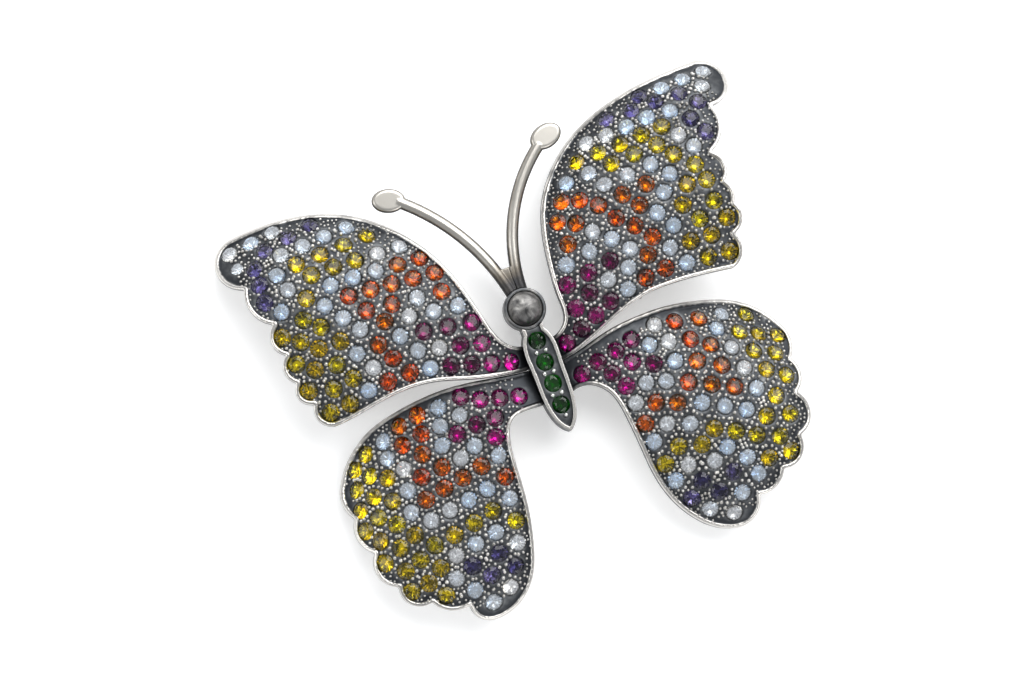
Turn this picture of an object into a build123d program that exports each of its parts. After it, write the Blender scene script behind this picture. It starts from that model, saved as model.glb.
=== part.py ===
"""Butterfly brooch in oxidised silver, pave-set with round crystals, with a hinged pin and a safety catch.

Frame: millimetres, +Z out of the front face, +Y towards the head, +X towards the butterfly's right-hand
wings as seen from the front. The brooch lies face up, resting on the edges of its domed wings.
"""

import os
from dataclasses import dataclass
from math import cos, hypot, radians, sin, sqrt, tan

from build123d import *

# --- Wing castings -----------------------------------------------------------------------------------------
plate_thickness = 1.3
rim_width = 0.42
rim_height = 0.35
rim_bite = 0.05  # how far a stone at the edge may reach into the rim's foot
blank_depth = 4.0  # how far a wing's blank reaches below and above its crown before it is cut to shape
blank_height = 12.0

# --- Crystals and their seats ------------------------------------------------------------------------------
stone_diameter = 1.95
small_stone_diameter = 1.5
stone_pitch = 2.13  # least distance between the centres of two neighbouring stones
table_ratio = 0.56
crown_height = 0.15  # as a share of the diameter
girdle_height = 0.03
pavilion_depth = 0.42
girdle_sink = 0.02  # how far the girdle's top lies under the metal's surface
seat_clearance = 0.03
seat_rise = 0.12  # how far a seat's cutter reaches above the metal's surface
back_hole_radius = 0.42
back_hole_depth = 3.0
body_gap = 0.15  # least distance from a wing's stone to the body
settling_rounds = 60
outline_samples = 600
spline_steps = 16

# --- Body channel, head and antennae -----------------------------------------------------------------------
body_top = 5.9
body_bottom = 2.8
body_wall = 0.42
channel_depth = 0.5
body_stone_pitch = 2.55
body_stone_start = -4.4
head_centre = (0.0, 7.1)
cup_radius = 2.4
cup_bottom = 2.9
cup_top = 5.5
cup_floor = 4.5
cup_wall = 0.38
head_clearance = 0.03
dome_base = 0.6  # straight side of the head's ball below its dome
antenna_height = 4.3
antenna_radius = 0.68
antenna_root_y = 8.6
web_thickness = 0.9
web_top_y = 12.2
paddle_size = (3.8, 2.7)
paddle_thickness = 1.2
paddle_edge = 0.4

# --- Pin, joint and catch on the back ----------------------------------------------------------------------
pin_angle = -20.6  # the pin is level when the butterfly is worn at its tilt
pin_origin = (-13.8, 6.2)
pin_length = 29.4  # from the rivet to the middle of the catch
pin_height = 1.45
pin_radius = 0.5
pin_neck_length = 1.5
pin_neck_radius = 0.58
pin_end_length = 4.5  # the tapered end that the catch holds, point included
pin_end_radius = 0.4
pin_overhang = 2.6  # how far the point passes the catch's middle
pin_point = 2.4
pin_tip_radius = 0.1
eye_radius = 1.1
eye_width = 1.2
rivet_radius = 0.4
rivet_clearance = 0.03
rivet_head_radius = 0.7
rivet_head_height = 0.25
ear_thickness = 0.7
ear_gap = 0.04
ear_half_width = 1.1
base_thickness = 0.6
leg_height = 4.6  # reach of a fitting's legs above the pin, before they are cut to the wing's back
joint_base = (5.0, 4.0)
catch_base = (3.0, 3.2)
catch_radius = 1.35
catch_length = 2.2
post_width = 1.6
roller_radius = 1.0
roller_clearance = 0.04
collar_radius = 1.3
collar_thickness = 0.5
slot_width = 1.16
lever_length = 2.15
lever_width = 0.8
lever_angle = -35.0


def inset_face(face, inset):
    """A face drawn in by an inset, with its offset curves redrawn as splines."""
    with BuildSketch() as plan:
        with BuildLine():
            for edge in face.outer_wire().offset_2d(-inset).edges():
                if edge.geom_type == GeomType.OFFSET:
                    points = [edge @ (step / spline_steps) for step in range(spline_steps + 1)]
                    Spline(*points, tangents=(edge % 0, edge % 1))
                else:
                    add(edge)
        make_face()
    return plan.face()


@dataclass
class Dome:
    """A domed surface round a straight spine: a crown arc, a tighter knuckle, then a straight slope."""

    start: tuple
    end: tuple
    crown: float
    crown_radius: float
    knuckle_start: float
    knuckle_radius: float
    slope: float
    reach: float = 24.0

    def sine(self, distance):
        """Sine of the surface's slope at a distance from the spine."""
        if distance < self.knuckle_start:
            return distance / self.crown_radius
        first = self.knuckle_start / self.crown_radius
        turned = first + (distance - self.knuckle_start) / self.knuckle_radius
        return min(turned, sin(radians(self.slope)))

    def slope_start(self):
        """Distance from the spine at which the straight slope starts."""
        first = self.knuckle_start / self.crown_radius
        return self.knuckle_start + self.knuckle_radius * (sin(radians(self.slope)) - first)

    def drop(self, distance):
        """How far the surface lies below its crown at a distance from the spine."""
        on_crown = min(distance, self.knuckle_start)
        total = self.crown_radius - sqrt(self.crown_radius**2 - on_crown**2)
        if distance > self.knuckle_start:
            first = self.sine(self.knuckle_start)
            total += self.knuckle_radius * (sqrt(1 - first**2) - sqrt(1 - self.sine(distance) ** 2))
        return total + max(distance - self.slope_start(), 0) * tan(radians(self.slope))

    def away(self, x, y):
        """Vector in plan from the nearest point of the spine to (x, y)."""
        (x0, y0), (x1, y1) = self.start, self.end
        along_x, along_y = x1 - x0, y1 - y0
        share = ((x - x0) * along_x + (y - y0) * along_y) / (along_x**2 + along_y**2)
        share = min(max(share, 0), 1)
        return x - x0 - share * along_x, y - y0 - share * along_y

    def height(self, x, y):
        return self.crown - self.drop(hypot(*self.away(x, y)))

    def normal(self, x, y):
        out_x, out_y = self.away(x, y)
        distance = max(hypot(out_x, out_y), 1e-6)
        lean = self.sine(distance)
        return Vector(out_x / distance * lean, out_y / distance * lean, sqrt(1 - lean**2))

    def slab(self, above, below):
        """The solid between the surface raised by `above` and the surface lowered by `below`."""
        spine = Vector(*self.end) - Vector(*self.start)
        across = Vector(0, 0, 1).cross(spine.normalized())
        stations = (0, self.knuckle_start / 2, self.knuckle_start)
        knuckle_end = self.slope_start()
        knuckle = (self.knuckle_start, (self.knuckle_start + knuckle_end) / 2, knuckle_end)

        def half_section(at):
            def level(distance, lift):
                return (distance, lift - self.drop(distance))

            with BuildSketch(at) as half:
                with BuildLine():
                    for lift in (above, -below):
                        ThreePointArc(*[level(distance, lift) for distance in stations])
                        ThreePointArc(*[level(distance, lift) for distance in knuckle])
                        Line(level(knuckle_end, lift), level(self.reach, lift))
                    Line(level(self.reach, above), level(self.reach, -below))
                    Line((0, above), (0, -below))
                make_face()
            return half.sketch

        origins = [Vector(*point, self.crown) for point in (self.start, self.end)]
        with BuildPart() as made:
            for origin, turn in zip(origins, (1, -1)):
                section = half_section(Plane(origin, x_dir=across, z_dir=spine))
                revolve(section, axis=Axis(origin, (0, 0, turn)), revolution_arc=180)
            for side in (1, -1):
                z_dir = spine * side
                start = origins[0] if side == 1 else origins[1]
                section = half_section(Plane(start, x_dir=Vector(0, 0, 1).cross(z_dir), z_dir=z_dir))
                extrude(section, amount=spine.length)
        return made.part


@dataclass
class Wing:
    """A wing's outline in plan and the runs of stones on it.

    The outline runs from the body along the leading edge, round the lobes of the outer margin, given as
    crest, cusp, crest, ..., and back to the body along the trailing edge. A run of stones is a string
    of colours, spread evenly from its first point to its last; a small letter is a small stone.
    """

    name: str
    dome: Dome
    leading: list
    lobes: list
    trailing: list
    runs: list

    def face(self, inset=0.0):
        """The outline as a flat face, drawn in by an inset."""
        with BuildSketch() as plan:
            with BuildLine():
                Spline(*self.leading)
                corners = [self.leading[-1], *self.lobes[1::2], self.trailing[0]]
                for start, crest, end in zip(corners, self.lobes[::2], corners[1:]):
                    ThreePointArc(start, crest, end)
                Spline(*self.trailing)
                Line(self.trailing[-1], self.leading[0])
            make_face()
        return inset_face(plan.face(), inset) if inset else plan.face()

    def stones(self):
        """Every stone as [x, y, diameter, colour], before settling."""
        placed = []
        for colours, first, *rest in self.runs:
            last = rest[0] if rest else first
            for index, letter in enumerate(colours):
                share = index / max(len(colours) - 1, 1)
                x, y = (a + (b - a) * share for a, b in zip(first, last))
                diameter = stone_diameter if letter.isupper() else small_stone_diameter
                placed.append([x, y, diameter, colour_names[letter.upper()]])
        return placed


upper_form = dict(crown=7.0, crown_radius=50.0, knuckle_start=8.0, knuckle_radius=13.0, slope=44.0)
lower_form = dict(crown=5.9, crown_radius=40.0, knuckle_start=5.0, knuckle_radius=13.0, slope=38.0)

colour_names = {"Y": "yellow", "O": "orange", "W": "opal", "V": "violet", "M": "magenta"}

upper_left = Wing(
    "upper_left",
    Dome((-14.0, 6.0), (-22.4, 10.6), **upper_form),
    leading=[
        (-1.0, 3.3), (-2.4, 3.45), (-3.6, 4.4), (-4.6, 6.8), (-5.6, 11.0), (-7.2, 15.6),
        (-10.0, 20.0), (-14.0, 23.6), (-19.0, 25.7), (-25.0, 26.4), (-28.5, 26.2),
    ],
    lobes=[
        (-31.0, 23.6), (-28.8, 20.0), (-29.1, 17.7), (-27.1, 15.1), (-28.1, 13.3), (-27.0, 11.4),
        (-27.9, 9.8), (-27.0, 8.1), (-27.5, 6.9), (-26.0, 5.2), (-26.1, 3.2),
    ],
    trailing=[
        (-24.6, 2.1), (-21.0, 2.5), (-18.0, 3.0), (-15.0, 3.15), (-12.0, 2.75), (-9.0, 1.85),
        (-5.5, 1.0), (-1.0, 0.5),
    ],
    runs=[
        ("WWW", (-23.6, 25.2), (-28.9, 24.6)),
        ("w", (-28.7, 22.6)),
        ("VVV", (-19.3, 24.5), (-25.1, 23.4)),
        ("VVV", (-26.9, 21.8), (-27.2, 17.8)),
        ("WWWW", (-15.6, 22.8), (-23.7, 22.3)),
        ("WW", (-24.9, 20.2), (-24.3, 18.2)),
        ("W", (-25.8, 16.1)),
        ("YYYY", (-13.7, 21.1), (-22.4, 20.6)),
        ("WWYYY", (-10.8, 18.6), (-21.3, 18.9)),
        ("YYYY", (-22.7, 16.6), (-26.1, 9.9)),
        ("Y", (-26.8, 13.3)),
        ("OOWWW", (-9.1, 16.6), (-19.6, 17.1)),
        ("WYYYY", (-21.1, 15.1), (-26.0, 6.8)),
        ("OOOOO", (-8.2, 14.4), (-18.1, 15.3)),
        ("WYYYY", (-19.6, 13.1), (-24.6, 3.7)),
        ("OWOO", (-8.2, 12.1), (-16.9, 13.0)),
        ("WWYY", (-18.3, 11.2), (-22.2, 3.9)),
        ("WWWO", (-7.1, 10.0), (-15.4, 11.1)),
        ("OWW", (-17.0, 8.9), (-19.8, 4.6)),
        ("MMMW", (-6.3, 7.7), (-14.4, 9.0)),
        ("OO", (-16.0, 6.9), (-17.4, 4.7)),
        ("MMWW", (-6.0, 5.1), (-13.1, 6.8)),
        ("O", (-14.8, 4.8)),
        ("MMMMW", (-3.5, 2.0), (-12.4, 4.5)),
    ],
)

upper_right = Wing(
    "upper_right",
    Dome((14.0, 6.0), (23.1, 11.5), **upper_form),
    leading=[
        (1.0, 3.2), (2.6, 3.35), (3.6, 4.3), (3.9, 7.0), (4.1, 10.0), (4.6, 13.2), (6.2, 17.8),
        (9.0, 21.4), (12.5, 24.1), (17.0, 25.9), (22.0, 26.85), (28.8, 27.3),
    ],
    lobes=[
        (31.2, 25.2), (28.1, 21.4), (28.2, 18.9), (26.0, 16.4), (27.0, 14.5), (26.2, 12.8),
        (26.7, 11.4), (26.3, 10.1), (26.7, 8.7), (25.1, 6.8), (25.4, 5.0),
    ],
    trailing=[
        (23.8, 3.2), (20.0, 3.7), (16.5, 3.95), (13.5, 3.85), (10.5, 3.1), (7.5, 1.9),
        (4.5, 0.8), (1.0, 0.2),
    ],
    runs=[
        ("VWWW", (20.9, 25.3), (29.1, 25.7)),
        ("W", (28.1, 24.0)),
        ("VVVV", (16.5, 24.1), (25.2, 24.1)),
        ("V", (26.8, 22.4)),
        ("VV", (25.2, 20.8), (26.2, 18.8)),
        ("WWWWW", (13.4, 22.5), (23.3, 22.5)),
        ("YYYYY", (11.5, 20.8), (21.8, 21.1)),
        ("WWYYYW", (9.5, 18.9), (23.1, 19.5)),
        ("W", (24.2, 17.8)),
        ("OO", (8.2, 17.1), (10.1, 16.5)),
        ("WWWY", (13.3, 17.1), (21.8, 17.6)),
        ("Y", (23.7, 15.7)),
        ("OO", (6.9, 15.0), (8.7, 14.1)),
        ("OOOW", (11.8, 15.1), (20.6, 15.7)),
        ("YY", (22.0, 13.9), (24.3, 13.6)),
        ("OWOOW", (7.0, 12.2), (19.2, 13.9)),
        ("YY", (20.7, 11.8), (24.2, 11.1)),
        ("WWWOW", (6.0, 10.1), (17.7, 12.0)),
        ("MMMWOW", (5.3, 7.9), (18.9, 10.0)),
        ("YY", (22.0, 9.7), (24.9, 8.8)),
        ("MWWO", (7.3, 6.2), (14.9, 8.0)),
        ("WYY", (17.6, 7.8), (22.6, 7.5)),
        ("MWO", (9.2, 4.5), (13.8, 5.6)),
        ("OWYY", (16.3, 5.8), (23.9, 5.1)),
        ("M", (5.3, 5.1)),
        ("MMM", (3.1, 1.8), (7.1, 3.6)),
    ],
)

lower_left = Wing(
    "lower_left",
    Dome((-9.5, -5.5), (-16.2, -13.8), **lower_form),
    leading=[
        (-1.0, 0.45), (-5.5, 0.95), (-9.0, 1.55), (-12.0, 1.8), (-15.0, 1.7), (-18.0, 1.3),
        (-21.0, 0.5), (-24.0, -1.4), (-26.1, -4.0),
    ],
    lobes=[
        (-26.8, -5.9), (-26.1, -8.3), (-26.7, -10.3), (-25.4, -12.7), (-26.0, -15.0), (-24.2, -17.2),
        (-23.7, -19.4), (-21.3, -20.1), (-19.8, -21.6), (-17.5, -21.9), (-16.9, -23.6),
    ],
    trailing=[
        (-15.0, -24.4), (-12.3, -23.8), (-10.0, -21.9), (-8.3, -18.0), (-7.5, -14.0), (-7.15, -9.5),
        (-6.8, -6.2), (-5.7, -4.1), (-4.2, -3.7), (-1.0, -3.9),
    ],
    runs=[
        ("MMMM", (-4.1, -1.9), (-10.5, -0.1)),
        ("MMM", (-7.5, -3.3), (-12.0, -3.1)),
        ("M", (-8.2, -5.2)),
        ("WW", (-11.1, -1.5), (-13.1, 0.0)),
        ("WW", (-13.6, -1.9), (-14.2, -4.1)),
        ("WW", (-10.8, -5.4), (-12.7, -6.1)),
        ("W", (-8.7, -7.3)),
        ("OO", (-15.6, 0.1), (-17.9, -0.3)),
        ("OO", (-15.9, -2.0), (-18.3, -2.4)),
        ("O", (-16.6, -4.2)),
        ("OO", (-15.1, -6.3), (-17.6, -6.6)),
        ("OOOO", (-10.9, -7.8), (-18.0, -9.1)),
        ("O", (-8.8, -9.8)),
        ("WW", (-20.1, -1.3), (-20.4, -3.2)),
        ("WWW", (-19.1, -5.0), (-20.0, -9.8)),
        ("WWWW", (-11.2, -10.4), (-18.3, -11.5)),
        ("W", (-9.1, -12.2)),
        ("YYYY", (-24.3, -3.0), (-25.6, -9.9)),
        ("YYYYYY", (-22.4, -1.9), (-24.8, -14.1)),
        ("YYYYYY", (-21.1, -5.3), (-23.3, -18.4)),
        ("YYY", (-20.6, -12.4), (-21.2, -17.9)),
        ("YYY", (-18.9, -14.2), (-19.6, -19.9)),
        ("YYY", (-16.4, -13.9), (-11.4, -12.9)),
        ("Y", (-9.3, -14.8)),
        ("WWW", (-17.0, -16.1), (-11.9, -15.2)),
        ("W", (-10.0, -17.2)),
        ("WWW", (-18.0, -18.4), (-14.8, -22.5)),
        ("W", (-12.4, -21.6)),
        ("VV", (-15.7, -17.9), (-14.0, -19.6)),
        ("VV", (-12.4, -17.6), (-11.1, -19.5)),
    ],
)

lower_right = Wing(
    "lower_right",
    Dome((9.5, -5.5), (16.9, -13.4), **lower_form),
    leading=[
        (1.0, 0.15), (4.5, 0.75), (7.9, 1.6), (11.0, 1.95), (14.0, 2.0), (17.0, 1.7), (20.0, 1.05),
        (23.0, 0.0), (25.6, -1.9), (27.2, -4.2),
    ],
    lobes=[
        (27.8, -6.1), (26.7, -8.6), (27.2, -10.2), (25.8, -12.4), (26.6, -14.5), (24.4, -17.1),
        (24.1, -18.9), (21.2, -20.0), (20.2, -21.3), (17.6, -21.8), (16.9, -23.5),
    ],
    trailing=[
        (14.6, -24.5), (12.0, -23.6), (9.6, -21.3), (7.9, -18.2), (7.05, -14.8), (6.75, -11.5),
        (6.4, -8.0), (5.6, -5.0), (4.4, -3.75), (1.0, -4.0),
    ],
    runs=[
        ("MMMM", (3.4, -2.0), (10.1, -0.4)),
        ("MM", (6.6, -3.2), (9.2, -2.7)),
        ("M", (11.4, -3.8)),
        ("M", (7.5, -4.9)),
        ("W", (13.1, 0.3)),
        ("WW", (11.6, -1.5), (13.9, -2.0)),
        ("W", (13.8, -4.3)),
        ("WW", (9.8, -5.5), (12.0, -6.1)),
        ("W", (7.9, -7.2)),
        ("OO", (15.5, -0.1), (18.3, -0.7)),
        ("OO", (16.4, -2.6), (18.4, -4.0)),
        ("OO", (16.2, -5.2), (18.7, -6.6)),
        ("OOO", (14.4, -7.1), (19.1, -9.4)),
        ("OO", (10.1, -8.0), (12.4, -8.8)),
        ("O", (8.1, -9.8)),
        ("WW", (21.1, -1.1), (19.8, -2.5)),
        ("WWW", (20.5, -5.1), (21.4, -10.4)),
        ("WWW", (15.0, -9.8), (19.5, -12.3)),
        ("WW", (10.4, -10.6), (12.9, -11.5)),
        ("W", (8.4, -12.0)),
        ("YYY", (22.2, -3.7), (26.4, -5.6)),
        ("Y", (23.9, -2.1)),
        ("YY", (22.9, -6.3), (25.2, -7.4)),
        ("YY", (23.4, -8.8), (25.4, -10.2)),
        ("YY", (23.3, -12.0), (21.4, -13.8)),
        ("YYY", (24.1, -14.5), (20.0, -18.3)),
        ("Y", (22.7, -18.4)),
        ("YYY", (15.2, -13.0), (19.5, -15.4)),
        ("YY", (13.3, -14.2), (10.8, -13.5)),
        ("Y", (8.7, -14.8)),
        ("WW", (16.0, -15.4), (17.7, -17.3)),
        ("W", (18.2, -19.5)),
        ("WW", (11.1, -15.8), (14.0, -16.4)),
        ("W", (9.2, -17.0)),
        ("W", (15.8, -20.9)),
        ("WW", (11.8, -21.4), (14.2, -22.7)),
        ("VV", (11.9, -18.0), (15.5, -18.3)),
        ("VV", (10.2, -19.5), (13.4, -19.8)),
    ],
)


def body_outline(inset=0.0):
    """The body in plan: a neck inside the head's cup, parallel sides, and a pointed tail."""
    side = [(1.25, 5.3), (1.25, 4.3), (1.8, 3.0), (1.85, 0.0), (1.8, -3.0), (1.55, -5.0), (0.95, -6.6)]
    tail = (0.0, -7.6)
    with BuildSketch() as plan:
        with BuildLine():
            Line((-side[0][0], side[0][1]), side[0])
            Line(side[0], side[1])
            Spline(*side[1:], tail)
            Spline(*[(-x, y) for x, y in side[1:]], tail)
            Line((-side[1][0], side[1][1]), (-side[0][0], side[0][1]))
        make_face()
    return inset_face(plan.face(), inset) if inset else plan.face()


def samples(face):
    """Points evenly spaced round a face's outline."""
    wire = face.outer_wire()
    points = [wire.position_at(step / outline_samples) for step in range(outline_samples)]
    return [(point.X, point.Y) for point in points]


def settle(wing, body_points):
    """The wing's stones, eased apart to the least pitch, off the rim and clear of the body."""
    stones = wing.stones()
    edge_points = samples(wing.face())
    spread = stone_pitch / stone_diameter
    for _ in range(settling_rounds):
        for index, one in enumerate(stones):
            for other in stones[:index]:
                across, along = one[0] - other[0], one[1] - other[1]
                if abs(across) > stone_pitch or abs(along) > stone_pitch:
                    continue
                rise = wing.dome.height(one[0], one[1]) - wing.dome.height(other[0], other[1])
                apart = sqrt(across**2 + along**2 + rise**2)
                short = spread * (one[2] + other[2]) / 2 - apart
                if short > 0:
                    push = short / hypot(across, along) / 2
                    one[0] += across * push
                    one[1] += along * push
                    other[0] -= across * push
                    other[1] -= along * push
        for stone in stones:
            level = wing.dome.normal(stone[0], stone[1]).Z
            for points, gap in ((edge_points, rim_width - rim_bite), (body_points, body_gap)):
                x, y = min(points, key=lambda point: hypot(point[0] - stone[0], point[1] - stone[1]))
                apart = hypot(stone[0] - x, stone[1] - y)
                short = gap + stone[2] / 2 * level - apart
                if short > 0:
                    stone[0] += (stone[0] - x) / apart * short
                    stone[1] += (stone[1] - y) / apart * short
    return stones


def stone_plane(stone, dome):
    """Where a stone stands: on the dome's surface, with its axis square to it."""
    x, y = stone[:2]
    return Plane((x, y, dome.height(x, y)), z_dir=dome.normal(x, y))


def stone_solid(diameter):
    """A round stone: table, crown, girdle and pavilion, with the metal's surface at z = 0."""
    radius = diameter / 2
    girdle_top = -girdle_sink
    girdle_bottom = girdle_top - girdle_height
    with BuildPart() as stone:
        with BuildSketch(Plane.XZ):
            with BuildLine():
                Polyline(
                    (0, girdle_bottom - pavilion_depth * diameter),
                    (radius, girdle_bottom),
                    (radius, girdle_top),
                    (radius * table_ratio, girdle_top + crown_height * diameter),
                    (0, girdle_top + crown_height * diameter),
                    close=True,
                )
            make_face()
        revolve(axis=Axis.Z)
    return stone.part


def seat_cutter(diameter):
    """The hole for a stone: a bearing for its girdle, a cone under its pavilion, and a hole to the back."""
    radius = diameter / 2 + seat_clearance
    bearing = -girdle_sink - girdle_height - seat_clearance
    cone_depth = (radius - back_hole_radius) * pavilion_depth * 2
    with BuildPart() as cutter:
        with BuildSketch(Plane.XZ):
            with BuildLine():
                Polyline(
                    (0, seat_rise),
                    (radius, seat_rise),
                    (radius, bearing),
                    (back_hole_radius, bearing - cone_depth),
                    (back_hole_radius, -back_hole_depth),
                    (0, -back_hole_depth),
                    close=True,
                )
            make_face()
        revolve(axis=Axis.Z)
    return cutter.part


def wing_blank(face, slab):
    """The part of a domed slab that lies within an outline."""
    with BuildPart() as blank:
        with BuildSketch(Plane.XY.offset(-blank_depth)):
            add(face)
        extrude(amount=blank_height + blank_depth)
        add(slab, mode=Mode.INTERSECT)
    return blank.part


pieces = {}
crystals = {diameter: stone_solid(diameter) for diameter in (stone_diameter, small_stone_diameter)}
seats = {diameter: seat_cutter(diameter) for diameter in crystals}

# --- Body channel with its four green stones ---------------------------------------------------------------
with BuildPart() as head_space:
    with BuildSketch(Plane.XY.offset(cup_bottom)):
        with Locations(head_centre):
            Circle(cup_radius)
    extrude(amount=blank_height)

body_face = body_outline()
channel_face = body_outline(body_wall)
body_stone_places = [
    Plane((0, body_stone_start + index * body_stone_pitch, body_top - channel_depth)) for index in range(4)
]
with BuildPart() as body:
    with BuildSketch(Plane.XY.offset(body_bottom)):
        add(body_face)
    extrude(amount=body_top - body_bottom)
    with BuildSketch(Plane.XY.offset(body_top - channel_depth)):
        add(channel_face)
    extrude(amount=channel_depth, mode=Mode.SUBTRACT)
    with Locations(*body_stone_places):
        add(seats[stone_diameter], mode=Mode.SUBTRACT)
    add(head_space.part, mode=Mode.SUBTRACT)
pieces["body_channel"] = body.part

with BuildPart() as green_stones:
    with Locations(*body_stone_places):
        add(crystals[stone_diameter])
pieces["body_stones_green"] = green_stones.part

# --- Wings and their stones --------------------------------------------------------------------------------
with BuildPart() as body_space:
    with BuildSketch(Plane.XY.offset(-blank_depth)):
        add(body_face)
    extrude(amount=blank_height + blank_depth)

body_points = samples(body_face)
wings = {}
for wing in (upper_left, upper_right, lower_left, lower_right):
    stones = settle(wing, body_points)
    side = wing.name.split("_")[1]
    plate = wing_blank(wing.face(), wing.dome.slab(rim_height, plate_thickness))
    within_rim = wing_blank(wing.face(rim_width), wing.dome.slab(rim_height + 1, 0))
    with BuildPart() as casting:
        add(plate)
        add(within_rim, mode=Mode.SUBTRACT)
        add(body_space.part, mode=Mode.SUBTRACT)
        if f"upper_{side}" in wings:
            add(wings[f"upper_{side}"], mode=Mode.SUBTRACT)
        for diameter in sorted({stone[2] for stone in stones}):
            places = [stone_plane(stone, wing.dome) for stone in stones if stone[2] == diameter]
            with Locations(*places):
                add(seats[diameter], mode=Mode.SUBTRACT)
    wings[wing.name] = casting.part
    pieces[f"{wing.name}_wing"] = casting.part
    for colour in colour_names.values():
        with BuildPart() as coloured:
            for stone in stones:
                if stone[3] == colour:
                    with Locations(stone_plane(stone, wing.dome)):
                        add(crystals[stone[2]])
        pieces[f"{wing.name}_stones_{colour}"] = coloured.part


# --- Head: a cup and the ball set in it --------------------------------------------------------------------
cup_plane = Plane((*head_centre, cup_bottom))
ball_radius = cup_radius - cup_wall - head_clearance
with BuildPart() as cup:
    with BuildSketch(cup_plane):
        Circle(cup_radius)
    extrude(amount=cup_top - cup_bottom)
    with BuildSketch(cup_plane.offset(cup_floor - cup_bottom)):
        Circle(cup_radius - cup_wall)
    extrude(amount=cup_top - cup_floor, mode=Mode.SUBTRACT)
    fillet(cup.edges().group_by(Axis.Z)[-1].sort_by(SortBy.LENGTH)[-1], radius=cup_wall / 2)
pieces["head_cup"] = cup.part

with BuildPart() as ball:
    with BuildSketch(cup_plane.offset(cup_floor - cup_bottom)):
        Circle(ball_radius)
    extrude(amount=dome_base)
    with Locations((*head_centre, cup_floor + dome_base)):
        Sphere(ball_radius, arc_size1=0, align=(Align.CENTER, Align.CENTER, Align.MIN))
pieces["head_ball"] = ball.part

# --- Antennae: a bent wire and a flat paddle each, meeting on the middle line ------------------------------
antenna_paths = {
    "left": [(-0.6, antenna_root_y), (-2.75, 15.3), (-9.2, 23.5)],
    "right": [(0.5, antenna_root_y), (1.75, 15.6), (8.2, 24.1)],
}
paddles = {"left": (-10.1, 23.9, -18), "right": (9.2, 24.7, 14)}


def paddle_solid(x, y, turn):
    """The flat oval with rounded edges that ends an antenna."""
    with BuildPart() as paddle:
        with BuildSketch(Plane.XY.offset(antenna_height - paddle_thickness / 2)):
            with Locations(Location((x, y), turn)):
                Ellipse(paddle_size[0] / 2, paddle_size[1] / 2)
        extrude(amount=paddle_thickness)
        fillet(paddle.edges(), radius=paddle_edge)
    return paddle.part


for side, points in antenna_paths.items():
    start = points[0]
    outward = 1 if side == "right" else -1
    paddle = paddle_solid(*paddles[side])
    with BuildPart() as antenna:
        with BuildLine(Plane.XY.offset(antenna_height)) as path:
            ThreePointArc(*points)
        with BuildSketch(path.line ^ 0):
            Circle(antenna_radius)
        sweep()
        add(paddle)
        with BuildSketch(Plane.XY.offset(antenna_height - web_thickness / 2)):
            with BuildLine():
                foot = start[1]
                Polyline((0, foot), (outward, foot), (outward, web_top_y), (0, web_top_y), close=True)
            make_face()
        extrude(amount=web_thickness)
        split(bisect_by=Plane.YZ, keep=Keep.TOP if side == "right" else Keep.BOTTOM)
        add(head_space.part, mode=Mode.SUBTRACT)
    pieces[f"{side}_antenna"] = antenna.part


# --- Pin, joint and catch ----------------------------------------------------------------------------------
along = Vector(cos(radians(pin_angle)), sin(radians(pin_angle)), 0)
rivet_point = Vector(*pin_origin, pin_height)
catch_point = rivet_point + along * pin_length
across = Vector(0, 0, 1).cross(along)


def upright(point, height=0.0):
    """A plane square to +Z with its x direction along the pin."""
    return Plane(point + Vector(0, 0, height), x_dir=along, z_dir=(0, 0, 1))


def lengthwise(point, shift=0.0):
    """A plane square to the pin, `shift` along it, with x across the pin and y up."""
    return Plane(point + along * shift, x_dir=across, z_dir=along)


def sideways(point, shift=0.0):
    """A plane square to the rivet, `shift` along it, with x along the pin and y up."""
    return Plane(point - across * shift, x_dir=along, z_dir=-across)


def under_wing(wing, point, size, legs):
    """A fitting's base plate against a wing's hollow back, with its legs reaching down from it."""
    ceiling = wing.dome.height(point.X, point.Y) - plate_thickness
    wing_space = wing.dome.slab(blank_depth, plate_thickness)
    with BuildPart() as fitting:
        with BuildSketch(upright(Vector(point.X, point.Y, ceiling - base_thickness))):
            RectangleRounded(*size, size[1] / 4)
        extrude(amount=base_thickness * 2)
        for leg in legs:
            add(leg)
        add(wing_space, mode=Mode.SUBTRACT)
    return fitting.part


def ear(shift):
    """One ear of the joint, from the rivet up to the wing's back."""
    with BuildPart() as leg:
        with BuildSketch(sideways(rivet_point, shift - ear_thickness / 2)):
            Circle(ear_half_width)
            with Locations((0, leg_height / 2)):
                Rectangle(ear_half_width * 2, leg_height)
            Circle(rivet_radius + rivet_clearance, mode=Mode.SUBTRACT)
        extrude(amount=ear_thickness)
    return leg.part


ear_shift = eye_width / 2 + ear_gap + ear_thickness / 2
pieces["pin_joint"] = under_wing(upper_left, rivet_point, joint_base, [ear(-ear_shift), ear(ear_shift)])

rivet_reach = ear_shift + ear_thickness / 2
with BuildPart() as rivet:
    with BuildSketch(sideways(rivet_point, -rivet_reach)):
        Circle(rivet_radius)
    extrude(amount=rivet_reach * 2)
    for shift in (-rivet_reach - rivet_head_height, rivet_reach):
        with BuildSketch(sideways(rivet_point, shift)):
            Circle(rivet_head_radius)
        extrude(amount=rivet_head_height)
pieces["joint_rivet"] = rivet.part

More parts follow.
